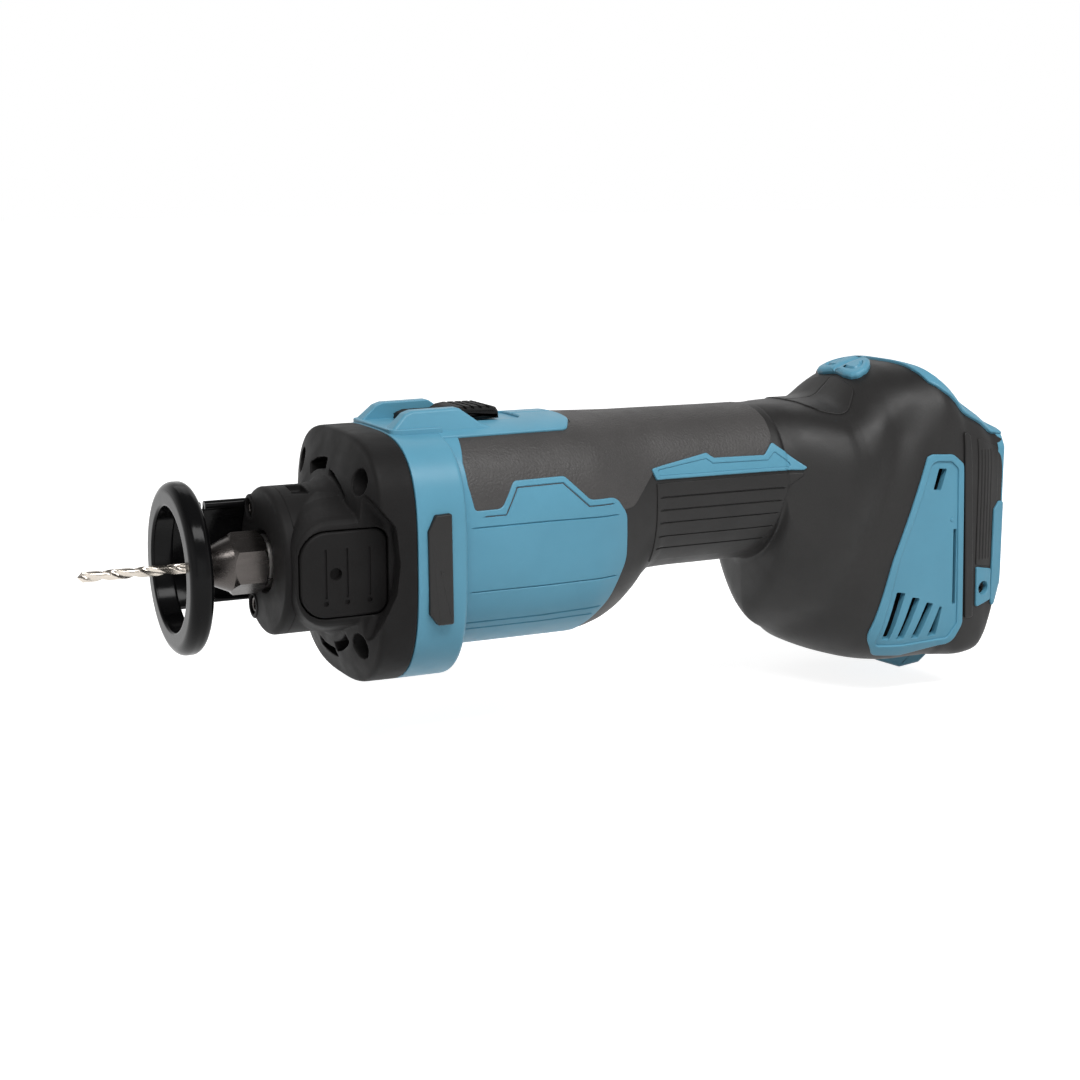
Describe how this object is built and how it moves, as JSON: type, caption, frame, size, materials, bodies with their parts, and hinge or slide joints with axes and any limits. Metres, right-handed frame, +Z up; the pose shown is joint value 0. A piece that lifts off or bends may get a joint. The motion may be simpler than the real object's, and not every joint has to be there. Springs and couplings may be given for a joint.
{
  "type": "drywall cut-out tool",
  "caption": "Cordless drywall cut-out tool: barrel motor housing with slide switch, soft grip, rear battery rails, shaft lock, collet with spiral bit and sliding depth guide ring.",
  "frame": {"origin": "on the spindle axis, in the plane of the nose's front face", "axes": "+X forward along the spindle and bit, +Y to the tool's left, +Z up to the slide switch"},
  "size_m": [0.3127, 0.0788, 0.1138],
  "materials": {
    "blue_plastic": "satin teal-blue moulded plastic",
    "soft_grip": "matt dark grey overmould with a fine grain",
    "black_plastic": "satin black moulded plastic",
    "black_enamel": "gloss black painted steel",
    "dark_steel": "blackened steel with a soft sheen",
    "bright_steel": "ground bright steel",
    "bit_steel": "polished tool steel",
    "copper": "enamelled copper wire",
    "board": "green circuit board",
    "lead_jacket": "matt black cable jacket",
    "terminal_brass": "bare brass contacts"
  },
  "bodies": {
    "housing": {"housing_left": "blue_plastic", "housing_right": "blue_plastic", "grip_left": "soft_grip", "grip_right": "soft_grip", "front_housing": "black_plastic", "nose_cap": "black_plastic", "nose_screws": "dark_steel", "front_screws": "dark_steel", "housing_screws": "dark_steel", "side_pad_left": "soft_grip", "side_pad_right": "soft_grip", "front_bearing": "bright_steel", "rear_bearing": "bright_steel", "stator_core": "bright_steel", "stator_coils": "copper", "sensor_board": "board", "motor_lead": "lead_jacket", "switch_lead": "lead_jacket", "switch_unit": "black_plastic", "switch_spring": "bright_steel", "controller": "black_plastic", "rear_base": "black_plastic", "terminal_block": "black_plastic", "terminal_blades": "terminal_brass", "hook_nuts": "bright_steel", "lock_spring": "bright_steel", "lever_pin": "bright_steel"},
    "rotor": {"spindle": "bright_steel", "lock_wheel": "bright_steel", "rotor_core": "bright_steel", "fan": "black_plastic", "collet": "bright_steel", "collet_nut": "dark_steel", "cutting_bit": "bit_steel"},
    "switch": {"switch_rod": "black_plastic", "switch_knob": "black_plastic"},
    "lock": {"lock_button": "black_plastic", "lock_pin": "bright_steel"},
    "guide": {"depth_guide": "black_enamel"},
    "lever": {"guide_lever": "black_enamel"}
  },
  "joints": [
    {"name": "spindle_spin", "type": "hinge", "parent": "housing", "child": "rotor", "pos_m": [0, 0, 0], "axis": [1, 0, 0], "continuous": true},
    {"name": "switch_slide", "type": "slide", "parent": "housing", "child": "switch", "axis": [1, 0, 0], "range_m": [0, 0.006], "deforming": ["switch_spring"]},
    {"name": "lock_press", "type": "slide", "parent": "housing", "child": "lock", "axis": [0, -1, 0], "range_m": [0, 0.003], "stiffness_N_per_m": 1500, "deforming": ["lock_spring"]},
    {"name": "guide_slide", "type": "slide", "parent": "housing", "child": "guide", "axis": [1, 0, 0], "range_m": [-0.01, 0.006]},
    {"name": "lever_swing", "type": "hinge", "parent": "housing", "child": "lever", "pos_m": [-0.0125, -0.0294, 0.01], "axis": [-1, 0, 0], "range_deg": [0, 95]}
  ]
}
